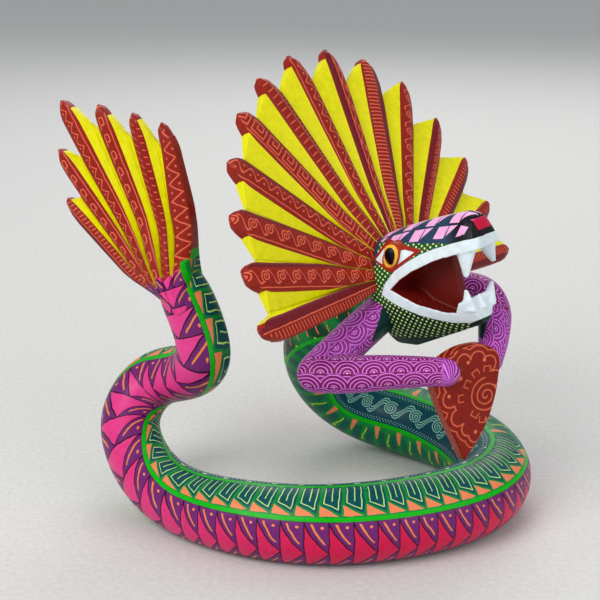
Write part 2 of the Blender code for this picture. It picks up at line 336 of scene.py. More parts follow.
def over(under, mask, colour):
    return addNode("Mix", (0, mask), (6, under), (7, colour), data_type="RGBA").outputs[2]


def layers(colour, *coats):
    # each coat is a mask and the colour laid on through it
    for mask, coat in coats:
        colour = over(colour, mask, coat)
    return colour


def noiseNode(scale, detail=2.0, stretch=None):
    place = addNode("TexCoord").outputs["Object"]
    if stretch:
        place = addNode("Mapping", ("Vector", place), ("Scale", stretch)).outputs["Vector"]
    return addNode("TexNoise", ("Vector", place), ("Scale", scale), ("Detail", detail))


def spread(value, low, high, lowest, highest):
    pairs = (("Value", value), ("From Min", low), ("From Max", high), ("To Min", lowest), ("To Max", highest))
    return addNode("MapRange", *pairs).outputs["Result"]


def paintedWood(name, draw, gloss=0.34, wobble=0.45, seat=None, brushed=0.12):
    # draw(x, y) gives the colour over the plan; `seat` is a turn to a form's own axes instead of the plan
    material = bpy.data.materials.new(name)
    material.use_nodes = True
    desk["tree"] = material.node_tree
    shader = material.node_tree.nodes["Principled BSDF"]
    if seat is None:
        plan = addNode("UVMap", uv_map="paint").outputs["UV"]
    else:
        away = seat.inverted()
        plan = addNode("Mapping", ("Vector", addNode("TexCoord").outputs["Object"]), ("Scale", (1 / mm,) * 3),
                       ("Location", tuple(away.to_translation() / mm)), ("Rotation", tuple(away.to_euler())))
        plan = plan.outputs["Vector"]
    split = addNode("SeparateXYZ", (0, plan))
    shake = addNode("SeparateXYZ", (0, noiseNode(woodLook["handScale"], 1.0).outputs["Color"]))
    spots = [Term(split.outputs[k]) + times(Term(shake.outputs[k]), 2 * wobble, -wobble)
             for k in range(2 if seat is None else 3)]
    patches = noiseNode(woodLook["patchScale"]).outputs["Fac"]
    thickness = spread(patches, 0.3, 0.7, *woodLook["thinThick"])
    vary = addNode("VectorMath", (0, draw(*spots)), ("Scale", thickness), operation="SCALE")
    plug(shader.inputs["Base Color"], vary.outputs["Vector"])
    roughness = spread(patches, 0.35, 0.65, *(gloss + d for d in woodLook["dullSpread"]))
    plug(shader.inputs["Roughness"], roughness)
    grain = noiseNode(woodLook["grainScale"], 2.0, woodLook["grainStretch"]).outputs["Fac"]
    bump = addNode("Bump", ("Height", grain), ("Strength", brushed), ("Distance", woodLook["grainHeight"]))
    plug(shader.inputs["Normal"], bump.outputs["Normal"])
    shader.inputs["Specular IOR Level"].default_value = woodLook["specular"]
    return material


# The body

serpent = {
    "thickness": 33.6 * mm,      # where the coil is thickest
    "tailThickness": 22.6 * mm,
    "planedOff": 0.9 * mm,       # flat left under the coil
    "rings": 14,                 # rings between two stations
    "bellyWidth": 27.6,          # mm of belly across
    "bellyDown": 20,             # degrees that the belly is turned down on the coil
    "edgeLine": 1.8,             # mm, the bright line along the belly
    "backLine": 2.0,             # mm, the bright line along the back
    "backHalf": 12.0,            # mm from the middle of the back to its edge
    "triangle": 8.0,             # mm on the plan from one triangle to the next
    "flankWidth": 16.2,          # mm on the plan from the belly's line to the back's
    "neckEnd": 92,               # mm along the body, where the neck's paint gives way to the belly's
    "rearEnd": 222,              # and the rear flank's to the combs
    "colours": {
        "pink": (230, 62, 142), "crimson": (214, 20, 76), "purple": (112, 34, 108), "outline": (36, 4, 34),
        "orange": (240, 136, 66), "salmon": (242, 134, 88), "brightGreen": (0, 180, 4), "green": (0, 136, 58),
        "teal": (0, 78, 84), "darkGreen": (2, 70, 40), "pale": (190, 235, 130), "limeDot": (190, 215, 30),
        "blueBlack": (4, 68, 84), "seaLine": (138, 200, 180), "cream": (235, 240, 210),
        "rearPatch": (0, 98, 78),
    },
}
colours.update(serpent["colours"])
# steps across each zone, from the middle of the belly over the near flank and round
zones = (("belly", 12), ("bellyLine", 2), ("flank", 12), ("backLine", 2), ("back", 14), ("backLine", 2),
         ("flank", 12), ("bellyLine", 2))


def bodyStations():
    full, slim = serpent["thickness"] / 2, serpent["tailThickness"] / 2
    thin = slim / full

    def resting(share):
        return (full * share - serpent["planedOff"]) / mm

    # x, y, height of the spine in mm, and share of the thickness
    spine = (
        (58, 6, 99, 0.78), (45, 12, 94, 0.82), (31, 24, 90, 0.84), (16, 39, 79, 0.87), (6.5, 54, 58.5, 0.91),
        (11.5, 66, 36.5, 0.95), (30, 67.5, 20.5, 0.98), (57, 56, 16.5, 1.0), (80, 32, resting(0.985), 0.985),
        (87, 2, resting(0.965), 0.965), (74.5, -27, resting(0.975), 0.975), (44, -45, resting(0.98), 0.98),
        (8, -52, resting(0.965), 0.965), (-26, -42, resting(0.915), 0.915), (-52.5, -22, resting(0.84), 0.84),
        (-69, -2, 19.5, 0.80), (-77.5, 17, 34.5, 0.78), (-66, 26.5, 50.5, 0.76), (-49, 13, 57.5, 0.735),
        (-41, -1, 68.5, 0.705), (-42.5, -1, 82, thin), (-48, 0.8, 96, thin), (-51.7, 2, 104, thin * 0.84),
        (-54.4, 3, 109.5, thin * 0.58), (-56.5, 4, 114, thin * 0.2),
    )
    return [(x * mm + middle.x, y * mm + middle.y, z * mm, share * full) for x, y, z, share in spine]


def readAcross(column, zone, limits):
    # the angle round the body of one column of the grid, read from the zone it borders
    first = sum(steps for _, steps in zones[:zone])
    share = (column - first) / zones[zone][1]
    return limits[zone] + (limits[zone + 1] - limits[zone]) * share


def bellyTurns(points, tangents, carried):
    # the angle round the path that the belly faces, ring by ring; it is set at some stations
    def fromBack(back, tangent):
        back = (back - tangent * back.dot(tangent)).normalized()
        return Matrix.Rotation(math.radians(-160), 3, tangent) @ back

    step = serpent["rings"]
    centre = Vector((4, 0, 0)) * mm + middle      # of the coil
    down = math.radians(serpent["bellyDown"])
    ways = {}
    for station in range(8, 15):
        outward = points[station * step] - centre
        outward.z = 0
        ways[station] = outward.normalized() * math.cos(down) - Vector((0, 0, math.sin(down)))
    for station, back in ((1, (0.1, -0.1, 1)), (5, (0.60, -0.79, 0.09)), (6, (0.18, -0.76, 0.62)),
                          (7, (-0.28, -0.52, 0.81))):
        ways[station] = fromBack(Vector(back), tangents[station * step])
    ways[17] = Vector((-0.09, -0.99, -0.06))
    viewer = Vector((0, -0.956, 0.292))
    left = viewer.cross(Vector((0, 0, 1))).normalized()
    ways[20] = ways[23] = viewer * math.cos(math.radians(50)) + left * math.sin(math.radians(50))

    table = []
    for station in sorted(ways):
        i, way = station * step, ways[station]
        angle = math.atan2(way.dot(tangents[i].cross(carried[i])), way.dot(carried[i]))
        table.append((i, nearTurn(angle, table[-1][1]) if table else angle))
    turns = [readTable(table, i) for i in range(len(points))]
    for _ in range(120):
        turns = [turns[0], *[(a + 2 * b + c) / 4 for a, b, c in zip(turns, turns[1:], turns[2:])], turns[-1]]
    return turns


def makeBody():
    path = flowingPath(bodyStations(), serpent["rings"], evening=60)
    points = [p for p, _ in path]
    sizes = [max(r, 0.4 * mm) for _, r in path]
    last = len(points) - 1
    tangents = [(points[min(i + 1, last)] - points[max(i - 1, 0)]).normalized() for i in range(last + 1)]
    # a frame that turns as little as it can along the path
    carried = [Vector((0, 0, 1)).cross(tangents[0]).normalized()]
    for after in tangents[1:]:
        carried.append((carried[-1] - after * carried[-1].dot(after)).normalized())
    turns = bellyTurns(points, tangents, carried)
    lengths = [length / mm for length in runningLengths(points)]
    zoneOf = [k for k, (_, steps) in enumerate(zones) for _ in range(steps)]
    around = len(zoneOf)

    def edges(radius, arc):
        # the angles at which the zones meet
        belly = min(serpent["bellyWidth"] / 2 / radius, math.radians(62))
        line = min(serpent["edgeLine"] / radius, math.radians(12))
        seam = min(serpent["backLine"] / radius, math.radians(11))
        tailward = ease(430, 500, arc)
        centreBack = math.radians(160 + 18 * tailward)
        wide = min((serpent["backHalf"] - 5.5 * tailward) / radius, math.radians(46))
        far = wide * (1 - 0.66 * (1 - ease(170, 230, arc)))
        return [-belly, belly, belly + line, centreBack - far - seam, centreBack - far, centreBack + wide,
                centreBack + wide + seam, 2 * math.pi - belly - line, 2 * math.pi - belly]

    limits = [edges(radius / mm, arc) for radius, arc in zip(sizes, lengths)]

    def place(c, i):
        angle = turns[i] + readAcross(c % around, zoneOf[c % around], limits[i])
        side = tangents[i].cross(carried[i])
        point = points[i] + (carried[i] * math.cos(angle) + side * math.sin(angle)) * sizes[i]
        if i in (0, last):
            point = points[i].copy()
        point.z = max(point.z, 0.0)
        return point

    body, spots = wrapGrid("serpentBody", around, last, place)
    return body, zoneOf, spots, lengths, limits, sizes


def bellyPaint(x, y):
    unit, half = serpent["triangle"], serpent["bellyWidth"] / 2
    late = 0.42 * unit      # how far a triangle's foot lies behind its point
    t = calc("WRAP", times(x, -1, -late), unit, 0.0)
    w = times(size(y), 1 / half, clamp=True)
    away = (times(t, 1 / unit) - calc("POWER", 1.0 - w, 1.4)) * (unit * 0.72)
    stroke = both(ink(size(away - 1.5), 0.27), between(w, 0.34, 0.93, 0.03), ink(0.0 - away))
    lines = least(size(away), size(fold(x, unit, late)), size(size(y) - half) + 0.05)
    return layers(
        "crimson",
        (between(x, 150, 900, 110), "pink"),
        (ink(0.0 - away), "purple"),
        (stroke, "orange"),
        (ink(reach(t - 5.7, size(y) - half * 0.83), 0.55), "salmon"),
        (ink(lines, 0.2), "outline"))


def linePaint(x, y):
    return "brightGreen"


def flankPaint(x, y):
    unit = serpent["triangle"]
    t = calc("WRAP", times(x, -1), unit, 0.0)
    leaning = calc("WRAP", times(y, -0.07, times(x, -1, 0.2)), unit, 0.0)
    patch = within(leaning, y, (7.3, 1.4), (7.8, 8), (7.8, 17), (1.1, 17), (0.9, 5.4))
    comb = strokes(leaning, y, (1.8, 15.2), (1.5, 6.3), (6.4, 3.4), (6.6, 8), (7.0, 15.2))
    comb = least(comb, lineFrom(leaning, y, (4.5, 15.2), (4.2, 7.2)))
    wedgeHere = within(t, y, (0.1, 0.55), (6.7, 0.55), (0.3, 5.2))
    return layers(
        "green",
        (ink(size(y - 17), 1.6, 1.2), "brightGreen"),
        (ink(patch, 0.0, 0.4), "teal"),
        (ink(comb, 0.19), "pale"),
        (ink(wedgeHere), "salmon"))


def neckPaint(x, y):
    # the throat side of the neck: dark green with thin slanting strokes and a few dots
    marks = both(ink(size(fold(times(y, 0.5, x), 6.4)), 0.3), ink(size(fold(y, 9.0)), 2.6, 0.5))
    return layers(
        "darkGreen",
        (ink(size(fold(x, 22.0)), 5.0, 4.0), "green"),
        (marks, "salmon"),
        (ink(reach(fold(x, 12.8, 3.2), fold(y, 9.0, 4.5)), 0.7), "limeDot"))


def rearFlankPaint(x, y):
    # y counts away from the line along the back
    drop = 15.0
    patch = ink(size(fold(x, drop / 2, 2.0)), 2.2, 1.2) * between(y, 2.5, 30, 2)
    drops = within(fold(x, drop, 5.5), y, (-1.7, 0.3), (1.7, 0.3), (0.35, 7.4), (-0.35, 7.4))
    other = fold(x, drop, 5.5 + drop / 2)
    sway = other - calc("SINE", y * 0.5) * 0.7
    stem = both(ink(size(sway), 0.35), between(y, 2.6, 9.5, 0.4))
    bud = ink(reach(other + 0.4, y - 10.6), 0.8)
    return layers("green", (patch, "rearPatch"), (ink(drops), "salmon"), (most(stem, bud), "limeDot"))


def backPaint(x, y):
    period = 18.0
    s = fold(x, period)
    link = waveFrom(x, y, period, 4.3, 0.25)
    linkInk = both(ink(least(link, size(link - 1.5)), 0.34, 0.2), ink(0.0 - reach(s, y), -4.7))
    rim = size(y) - serpent["backHalf"]
    dots = least(reach(fold(x, 2.1), rim + 1.6), reach(fold(x, 2.1, 1.0), rim + 3.0))
    dash = within(fold(x, 11.5), rim, (-1.3, -1.9), (1.3, -1.9), (1.0, -0.9), (-1.0, -0.9))
    return layers(
        "blueBlack",
        (between(y, -30, -6, 3), "teal"),
        (most(ink(spiralFrom(s, y, 1.65, 2.9), 0.36, 0.2), linkInk), "seaLine"),
        (ink(dots, 0.38, 0.15), "seaLine"),
        (ink(dash) * between(x, 0, 220, 1), "cream"))


def flankedBody():
    body, zoneOf, spots, lengths, limits, sizes = makeBody()
    finishes = {"belly": bellyPaint, "bellyLine": linePaint, "flank": flankPaint, "backLine": linePaint,
                "back": backPaint, "rearFlank": rearFlankPaint, "neck": neckPaint}
    order = list(finishes)
    giveFinishes(body, *(paintedWood(label + "Paint", draw) for label, draw in finishes.items()))
    # mm along the body, and how many triangles have begun there
    counted = ((0, -31.34), (238.2, 0), (261, 3), (304, 9), (345, 14), (384.5, 19), (397.3, 20), (409.4, 21),
               (422.6, 22), (437.3, 23), (516, 30), (528, 31), (539.5, 32), (550.5, 33), (561, 34), (645, 42))
    plan = body.data.uv_layers["paint"]
    for face in body.data.polygons:
        column = min(spots[v][0] for v in face.vertices)
        arc = lengths[min(spots[v][1] for v in face.vertices)]
        zone = zoneOf[column]
        kind = zones[zone][0]
        rear = kind == "flank" and arc < serpent["rearEnd"]
        neck = kind == "belly" and arc < serpent["neckEnd"]
        face.material_index = order.index("rearFlank" if rear else "neck" if neck else kind)
        for loopIndex in face.loop_indices:
            c, i = spots[body.data.loops[loopIndex].vertex_index]
            radius = sizes[i] / mm
            low, high = (limits[i][k] * radius for k in (zone, zone + 1))
            y = readAcross(c, zone, limits[i]) * radius
            if kind == "flank":
                inner = (y - low) if zone == 2 else (high - y)
                y = (high - low) - inner if rear else inner * serpent["flankWidth"] / (high - low)
            elif kind == "back":
                y = (y - (low + high) / 2) * 2 * serpent["backHalf"] / (high - low)
            elif kind != "belly":
                y = y - (low + high) / 2
            plan.data[loopIndex].uv = (readTable(counted, lengths[i]) * serpent["triangle"], y)
    return body


bodyPiece = flankedBody()
tidyMesh(bodyPiece)
handIn(bodyPiece)


# Rayed fans: the crest and the tail

fanForm = {
    "thickness": 5.6 * mm,
    "web": 2.0 * mm,
    "ridge": 0.8 * mm,          # how much a ray rises along its middle
    "step": 0.5 * mm,           # how far the web starts under the edge of a ray
    "overlap": 0.3,             # mm by which a web runs in under a ray
    "room": 0.47,               # share of the way to the next ray that half a ray may take
    "webRow": 0.9,              # rows past this one are the free tip of a ray
    "colours": {
        # the sides and rims of the rays take a red a touch lighter than the rays' own: painted light against
        # the shade they stand in
        "featherRed": (146, 30, 14), "featherShade": (112, 18, 28), "featherLine": (226, 100, 72),
        "featherEdge": (148, 32, 16), "yellow": (236, 230, 4), "dullYellow": (226, 221, 2),
        # a darker yellow for the groove of each web: painted shade in the fold
        "valley": (176, 168, 8),
    },
}
colours.update(fanForm["colours"])
# share of its full width a ray has at so many mm from its tip
rayWidth = ((0.0, 0.08), (0.3, 0.26), (0.9, 0.42), (1.9, 0.6), (3.4, 0.76), (6.0, 0.9), (10.5, 1.0),
            (24.0, 0.99), (45.0, 0.9), (66.0, 0.78), (90.0, 0.6))
rowShares = (0.0, 0.03, 0.06, 0.1, 0.14, 0.18, 0.22, 0.26, 0.3, 0.34, 0.38, 0.42, 0.47, 0.52, 0.57, 0.62,
             0.67, 0.71, 0.75, 0.785, 0.815, 0.84, 0.86, 0.875, 0.888, fanForm["webRow"], 0.905, 0.915, 0.925,
             0.938, 0.95, 0.962, 0.974, 0.982, 0.988, 0.993, 0.997, 1.0)
acrossRay = (-1.0, -0.92, -0.75, -0.5, -0.25, 0.0, 0.25, 0.5, 0.75, 0.92, 1.0)
fans = {
    "crestRays": {
        "seat": standAt((39.5, 6, 103), direction(37, 28)),
        "hub": (0, 0),                                      # mm from the seat to where the rays meet
        "angles": [181.3 - 14.35 * k for k in range(14)],   # from the lowest ray on the left, over the top
        "reach": [90 + 14 * max(math.sin(math.radians(193.3 - 14.35 * k)), 0.05) for k in range(14)],
        "shorter": {10: 2.0, 11: 2.4, 12: 2.6},             # mm
        # width near the tip and toward the root, mm
        "widths": [(w, w) for w in (9.3, 11.4, 10.5, 9.6, 9.6, 8.8, 8.4, 8.6, 11.6, 8.6, 7.4, 7.4, 7.0, 7.0)],
        # share of the ray's length where the web leaves it, on the near and the next ray
        "webEnds": ((0.98, 0.91), (0.96, 0.92), (0.96, 0.925), (0.955, 0.93), (0.93, 0.94), (0.905, 0.955),
                    (0.86, 0.955), (0.835, 0.965), (0.84, 0.985), (0.80, 0.975), (0.80, 0.985), (0.81, 0.985),
                    (0.85, 0.985)),
        "notches": (6.0, 6.0, 5.5, 4.0, 2.5, 1.5, 1.0, 0.6, 0.6, 0.6, 0.6, 0.6, 0.6),    # web ends, mm
        "valley": 0.22,                                     # where across a web its groove lies
        "lean": (1.4, 1.4, 1.2, 1.0, 0.6, -1.0, -1.2, -1.2, -1.2, -1.0, -1.0, -1.0, -1.0, -0.8),    # tips, mm
        "sweep": (0, 0, 0, 0, 0.6, 1.6, 3.2, 5.0, 6.6, 8.2, 10.0, 10.6, 8.4, 4.0),      # lower parts, mm
        "root": 7 * mm,
        "depth": 3.0 * mm,                                  # swelling toward the root
        "fade": (0.0, 0.36),                                # rows over which it goes
        "pinch": 0.0,                                       # how far the root gathers in
    },
    "tailFeathers": {
        "seat": standAt((-53.2, 2.6, 108.3), direction(115, 0)),
        "hub": (20.8, -36.5),
        "angles": [103 + 7.35 * k for k in range(6)],       # from the ray on the right
        "reach": (101, 108, 117, 127, 112, 95),
        "shorter": {},
        "widths": ((5.2, 15.0), (5.6, 5.4), (6.6, 6.2), (7.6, 6.4), (6.6, 5.8), (5.0, 4.6)),
        "webEnds": ((0.90, 0.97), (0.90, 0.95), (0.91, 0.96), (0.80, 0.98), (0.81, 0.98)),
        "notches": (2.0, 2.0, 2.0, 1.0, 1.0),
        "valley": 0.5,
        "lean": (1.9, 0.8, 0.6, 0.4, 0.0, -0.4),
        "sweep": (4.2, 8.4, 9.0, 8.4, 6.4, 4.0),
        "root": 24 * mm,
        "depth": serpent["tailThickness"] * 0.36,
        "fade": (0.08, 0.5),
        "pinch": 0.35,
    },
}


def fanPiece(name, fan):
    # rays with webs between them; the columns run over the front and back again behind
    angles, webEnds, valley, root = fan["angles"], fan["webEnds"], fan["valley"], fan["root"]
    tips = [(full - fan["shorter"].get(k, 0)) * mm for k, full in enumerate(fan["reach"])]
    centre = (angles[0] + angles[-1]) / 2
    pitch = angles[1] - angles[0]
    way = 1 if pitch > 0 else -1
    halfSpan = abs(angles[-1] - angles[0]) / 2 + 0.4 * abs(pitch)
    front = fanForm["thickness"] * 0.54
    back = fanForm["thickness"] - front
    groove = fanForm["thickness"] - fanForm["web"]
    webRow, under = fanForm["webRow"], fanForm["overlap"]
    acrossWeb = (valley * 0.45, valley, valley + (1 - valley) * 0.3, valley + (1 - valley) * 0.65, 0.96)
    columns = []
    for k in range(len(angles)):
        columns += [("wall", k, -1.0), *(("ray", k, share) for share in acrossRay), ("wall", k, 1.0)]
        if k < len(webEnds):
            columns += [("web", k, share) for share in acrossWeb]

    def gatherAt(row):
        return 1 - fan["pinch"] * (1 - ease(0.0, 0.45, row))

    def along(k, share, row):
        # how far out a ray's own row lies
        ends = (webEnds[k - 1][1] if k else 0.94, webEnds[k][0] if k < len(webEnds) else 0.94)
        out = []
        for end in ends:
            whole = (tips[k] * end - root) / (tips[k] - root)
            free = (row - webRow) / (1 - webRow)
            out.append(row / webRow * whole if row <= webRow else whole + free * (1 - whole))
        return root + (tips[k] - root) * (out[0] + (out[1] - out[0]) * (share + 1) / 2)

    def sweptTo(k, radius):
        # the middle of a ray, in degrees
        hubRoom = 30 * mm       # nearer the hub than this, it turns no faster
        moved = fan["sweep"][k] * mm * (1 - radius / tips[k])
        return angles[k] + math.degrees(moved / max(radius, hubRoom)) * way

    def turnedTo(k, share, radius, row, beyond=0.0):
        tip = (tips[k] - radius) / mm
        outer, inner = fan["widths"][k]
        width = outer + (inner - outer) * ease(0, 75, tip)
        half = (width / 2 * readTable(rayWidth, max(tip, 0.0)) + beyond) * mm / (radius * gatherAt(row))
        rooms = [abs(sweptTo(k, radius) - sweptTo(n, radius)) for n in (k - 1, k + 1) if 0 <= n < len(angles)]
        half = min(half, math.radians(min(rooms)) * fanForm["room"])
        drift = fan["lean"][k] * mm * (1 - ease(0, 13, tip)) / radius
        return sweptTo(k, radius) + math.degrees(share * half + drift) * way

    def spot(column, row, behind):
        # degrees round the hub, distance from it, and height over the fan's middle plane
        kind, k, share = column
        openUp = ease(0.05, 0.3, row)
        if kind == "web":
            ends = [along(k, 1, row), along(k + 1, -1, row)]
            edges = [turnedTo(k, 1, ends[0], row, under), turnedTo(k + 1, -1, ends[1], row, under)]
            deep = 1 - abs(share - valley) / (valley if share < valley else 1 - valley)
            notch = fan["notches"][k] * mm * deep * ease(0.3, webRow, row)
            radius = ends[0] + (ends[1] - ends[0]) * share - notch
            turned = edges[0] + (edges[1] - edges[0]) * share
            if behind:
                cutBy = (fanForm["step"] * 0.6 + groove * 0.2 * deep) * openUp
            else:
                cutBy = (fanForm["step"] + groove * 0.66 * deep) * openUp
        else:
            radius = along(k, share, row)
            turned = turnedTo(k, share, radius, row, under if kind == "wall" else 0.0)
            if kind == "wall":
                cutBy = fanForm["step"] * openUp * (0.6 if behind else 1.0)
            else:
                ridge = fanForm["ridge"] * (1 - abs(share)) * openUp * (0.4 if behind else 1.0)
                cutBy = 0.3 * mm * ease(0.85, 1.0, abs(share)) - ridge      # the edge of a ray is rounded off
        lateral = (turned - centre) / halfSpan
        swell = fan["depth"] * (1 - ease(*fan["fade"], row)) * math.sqrt(max(1 - lateral ** 2, 0))
        taper = fanForm["thickness"] * (0.14 * ease(0.86, 1.0, row) + 0.24 * ease(0.972, 1.0, row))
        theta = math.radians(centre + (turned - centre) * gatherAt(row))
        lift = front + swell - taper - cutBy if not behind else -back - swell + taper + cutBy
        if row > webRow and kind != "ray":
            lift = (front - back) / 2
        return theta, radius, lift

    rows = len(rowShares)
    loop = [(column, False) for column in columns] + [(column, True) for column in reversed(columns)]
    loop.append(loop[0])

    def rowAt(r):
        return rowShares[min(max(r - 1, 0), rows - 1)]

    def placed(c, r):
        column, behind = loop[c]
        theta, radius, lift = spot(column, rowAt(r), behind)
        if r in (0, rows + 1):        # first and last rows meet halfway through the thickness
            closing = 0.4 * mm
            lift = (lift + spot(column, rowAt(r), not behind)[2]) / 2
            radius += closing if r and column[0] == "ray" else 0.0 if r else -closing
        across, up = (h * mm for h in fan["hub"])
        return fan["seat"] @ Vector((lift, across + radius * math.cos(theta), up + radius * math.sin(theta)))

    def paintAt(c, r):
        # mm from the tip, and mm from the middle of the ray or the web's groove
        (kind, k, share), behind = loop[c]
        row = rowAt(r)
        theta, radius, _ = spot(loop[c][0], row, behind)
        line = sweptTo(k, radius)
        if kind == "web":
            edges = [turnedTo(k, 1, radius, row, under), turnedTo(k + 1, -1, radius, row, under)]
            line = edges[0] + (edges[1] - edges[0]) * valley
        mid = math.radians(centre + (line - centre) * gatherAt(row))
        return (tips[k] - radius) / mm, (theta - mid) * radius / mm * way

    piece, spots = wrapGrid(name, len(loop) - 1, rows + 1, placed)
    plan = piece.data.uv_layers["paint"]
    for corner in piece.data.loops:
        plan.data[corner.index].uv = paintAt(*spots[corner.vertex_index])
    belongs = []
    for (first, behind), (second, behindNext) in zip(loop, loop[1:]):
        kinds = {first[0], second[0]}
        strip = "ray" if kinds == {"ray"} else "edge" if kinds == {"ray", "wall"} else "web"
        belongs.append(("rim" if behind != behindNext else strip, first[1], behind))
    return piece, spots, belongs


def dropDoubled(piece):
    # past the webs the front and back lie on each other: those pairs of faces go
    bm = bmesh.new()
    bm.from_mesh(piece.data)
    seen = {}
    for face in bm.faces:
        key = frozenset(tuple(round(v * 1e6) for v in vert.co) for vert in face.verts)
        seen.setdefault(key, []).append(face)
    twice = [face for faces in seen.values() if len(faces) > 1 for face in faces]
    bmesh.ops.delete(bm, geom=twice, context="FACES")
    bm.to_mesh(piece.data)
    bm.free()


beyond = 9      # mm, past the edge of any ray


def barsAlong(x, y, period, low, high, half=0.26, slant=0.0, shift=0.0):
    at = fold(times(y, slant, x), period, shift)
    return both(ink(size(at), half), between(y, low, high))


def dotsAlong(x, y, period, level, radius=0.42, shift=0.0):
    return ink(reach(fold(x, period, shift), y - level), radius)


def ruleAt(y, level, half=0.22):
    return ink(size(y - level), half)


def curlsAlong(x, y, period, rise, gap, turns, start, swing, clear, half):
    # spirals a little over a wave that links them and stays `clear` of their middles
    s, up = fold(x, period), (y - rise if rise else y)
    link = both(ink(waveFrom(x, y, period, swing, 0.25), half), ink(0.0 - reach(s, up), -clear))
    return most(ink(spiralFrom(s, up, gap, turns, start), half), link)


def feather(y, shaded, *marks):
    # red, with one strip of it in shade, under the ornament
    strip = [(between(y, *shaded), "featherShade")] if shaded else []
    return layers("featherRed", *strip, (most(*marks), "featherLine"))


def hashFeather(x, y):
    return feather(y, (0.4, beyond), barsAlong(x, y, 2.0, -4.1, -0.5, 0.25, 0.25), ruleAt(y, 0.35, 0.24))


def spiralFeather(x, y):
    curls = curlsAlong(x, y, 8.8, 0.2, 1.3, 2.0, 0.3, 2.6, 2.5, 0.3)
    return feather(y, (3.9, beyond), curls, ruleAt(y, -4.2))


def waveFeather(x, y):
    period = 7.4
    waves = ink(waveFrom(x, y - 0.5, period, 1.8), 0.3)
    dots = most(dotsAlong(x, y, period, -0.7, 0.5, -1.85), dotsAlong(x, y, period, 1.7, 0.5, 1.85))
    return feather(y, (3.2, beyond), waves, dots, ruleAt(y, -3.3))


def grecaFeather(x, y):
    # a square spiral and the step to the next one
    path = strokes(fold(x, 9.2), y, (4.3, 2.9), (4.3, -2.5), (-2.7, -2.5), (-2.7, 2.7), (2.4, 2.7),
                   (2.4, -0.7), (-0.6, -0.7), (-0.6, 1.0))
    return feather(y, (3.6, beyond), ink(path, 0.3), ruleAt(y, -3.7))


def ladderFeather(x, y):
    return feather(y, (1.5, beyond), barsAlong(x, y, 3.2, -3.4, 0.1), ruleAt(y, 1.4, 0.24),
                   dotsAlong(x, y, 1.9, 2.7, 0.38))


def sideSpiralFeather(x, y):
    curls = curlsAlong(x, y - 1.3, 9.2, 0.2, 0.95, 1.7, 0.25, 1.5, 1.7, 0.25)
    return feather(y, (-beyond, -0.9), curls, ruleAt(y, -0.9, 0.26))


def closeBarsFeather(x, y):
    return feather(y, (1.8, beyond), barsAlong(x, y, 1.75, -5.1, 1.2, 0.3, 0.15))


def hookFeather(x, y):
    return feather(y, None, curlsAlong(x, y, 8.8, 0, 1.25, 1.8, 0.3, 2.2, 2.2, 0.28))


def squareFeather(x, y):
    s = fold(x, 4.6)
    path = strokes(s, y, (-1.5, -0.6), (-1.5, 1.9), (1.4, 1.9), (1.4, -0.6))
    return feather(y, (-beyond, -1.1), ink(path, 0.26), ink(size(y - 0.9) + size(s), 0.5))


def rungFeather(x, y):
    return feather(y, (0.8, beyond), barsAlong(x, y, 2.3, -2.4, 0.4, 0.28))


def bareFeather(x, y):
    return feather(y, (0.8, beyond), barsAlong(x, y, 3.0, -1.6, -0.2, 0.22))


def toothedFeather(x, y):
    # tail: a zigzag that widens toward the root, with a dot in every corner
    period = 7.2
    wide = (y + 0.8) / times(x, 0.018, 0.62)
    dots = most(dotsAlong(x, wide, period, 1.9, 0.5), dotsAlong(x, wide, period, -1.9, 0.5, period / 2))
    return feather(y, None, ink(zigzagFrom(x, wide, period, 2.6), 0.3), dots)


def smallToothFeather(x, y):
    period = 5.4
    zig = ink(zigzagFrom(x, y - 0.3, period, 1.3), 0.22)
    return feather(y, None, zig, dotsAlong(x, y, period, 1.3), ruleAt(y, -2.4))


def caneFeather(x, y):
    # small walking-stick hooks
    s = fold(x, 7.4)
    hook = both(ink(size(reach(s + 1.2, y - 0.5) - 1.1), 0.28), ink(s + 1.2))
    legs = [both(ruleAt(y, level, 0.28), between(s, -1.2, end)) for level, end in ((1.6, 2.8), (-0.6, 1.2))]
    return feather(y, None, hook, *legs, ink(reach(s - 1.0, y - 0.3), 0.55), ruleAt(y, -2.2))


def slashFeather(x, y):
    bars = [barsAlong(x, y, 3.0, *rest) for rest in ((-2.4, -0.9, 0.24, 0.4), (0.2, 2.3, 0.24, 1.0, 1.0))]
    return feather(y, None, *bars)


def backFeather(x, y):
    # behind: a border line each side and dots between
    marks = most(ink(size(size(y) - 2.6), 0.24), dotsAlong(x, y, 3.6, 0.0, 0.5))
    return layers("featherShade", (between(y, -2.6, 2.6), "featherRed"), (marks, "featherLine"))


def tailRootPaint(out, y, z):
    # the end of the belly and of the near flank, carried up onto the root of the fan
    phase = 275.5       # mm, so that both run on from the body
    up = times(y, -0.42, z)
    across = times(z, 0.36, y - 1.0)
    belly = bellyPaint(times(up, 0.9, phase), across * 1.75)
    flank = flankPaint(times(up, 0.9, phase), times(out, -1.1, (across - 9.2) * 1.3 + 3.0))
    top = times(y, -0.725, z - 0.2)
    border = most(ink(size(across - 8.4), 0.9), both(ink(0.0 - top, 1.7), ink(8.0 - across)))
    return layers(belly, (ink(7.6 - across), flank), (border, "brightGreen"))


def webPaint(x, y):
    streak = Term(noiseNode(160, 2.0, (1.0, 1.0, 0.2)).outputs["Fac"])
    return layers(
        "yellow",
        (times(streak, 1.6, -0.75, clamp=True), "dullYellow"),
        # painted shade: a darker yellow line along the groove of the web
        (ink(size(y), 0.18, 0.5) * 0.75, "valley"))


# sides and rims of the rays: the rays' red lifted a little, as painted light where they stand in shade
def litEdgePaint(x, y):
    return "featherEdge"


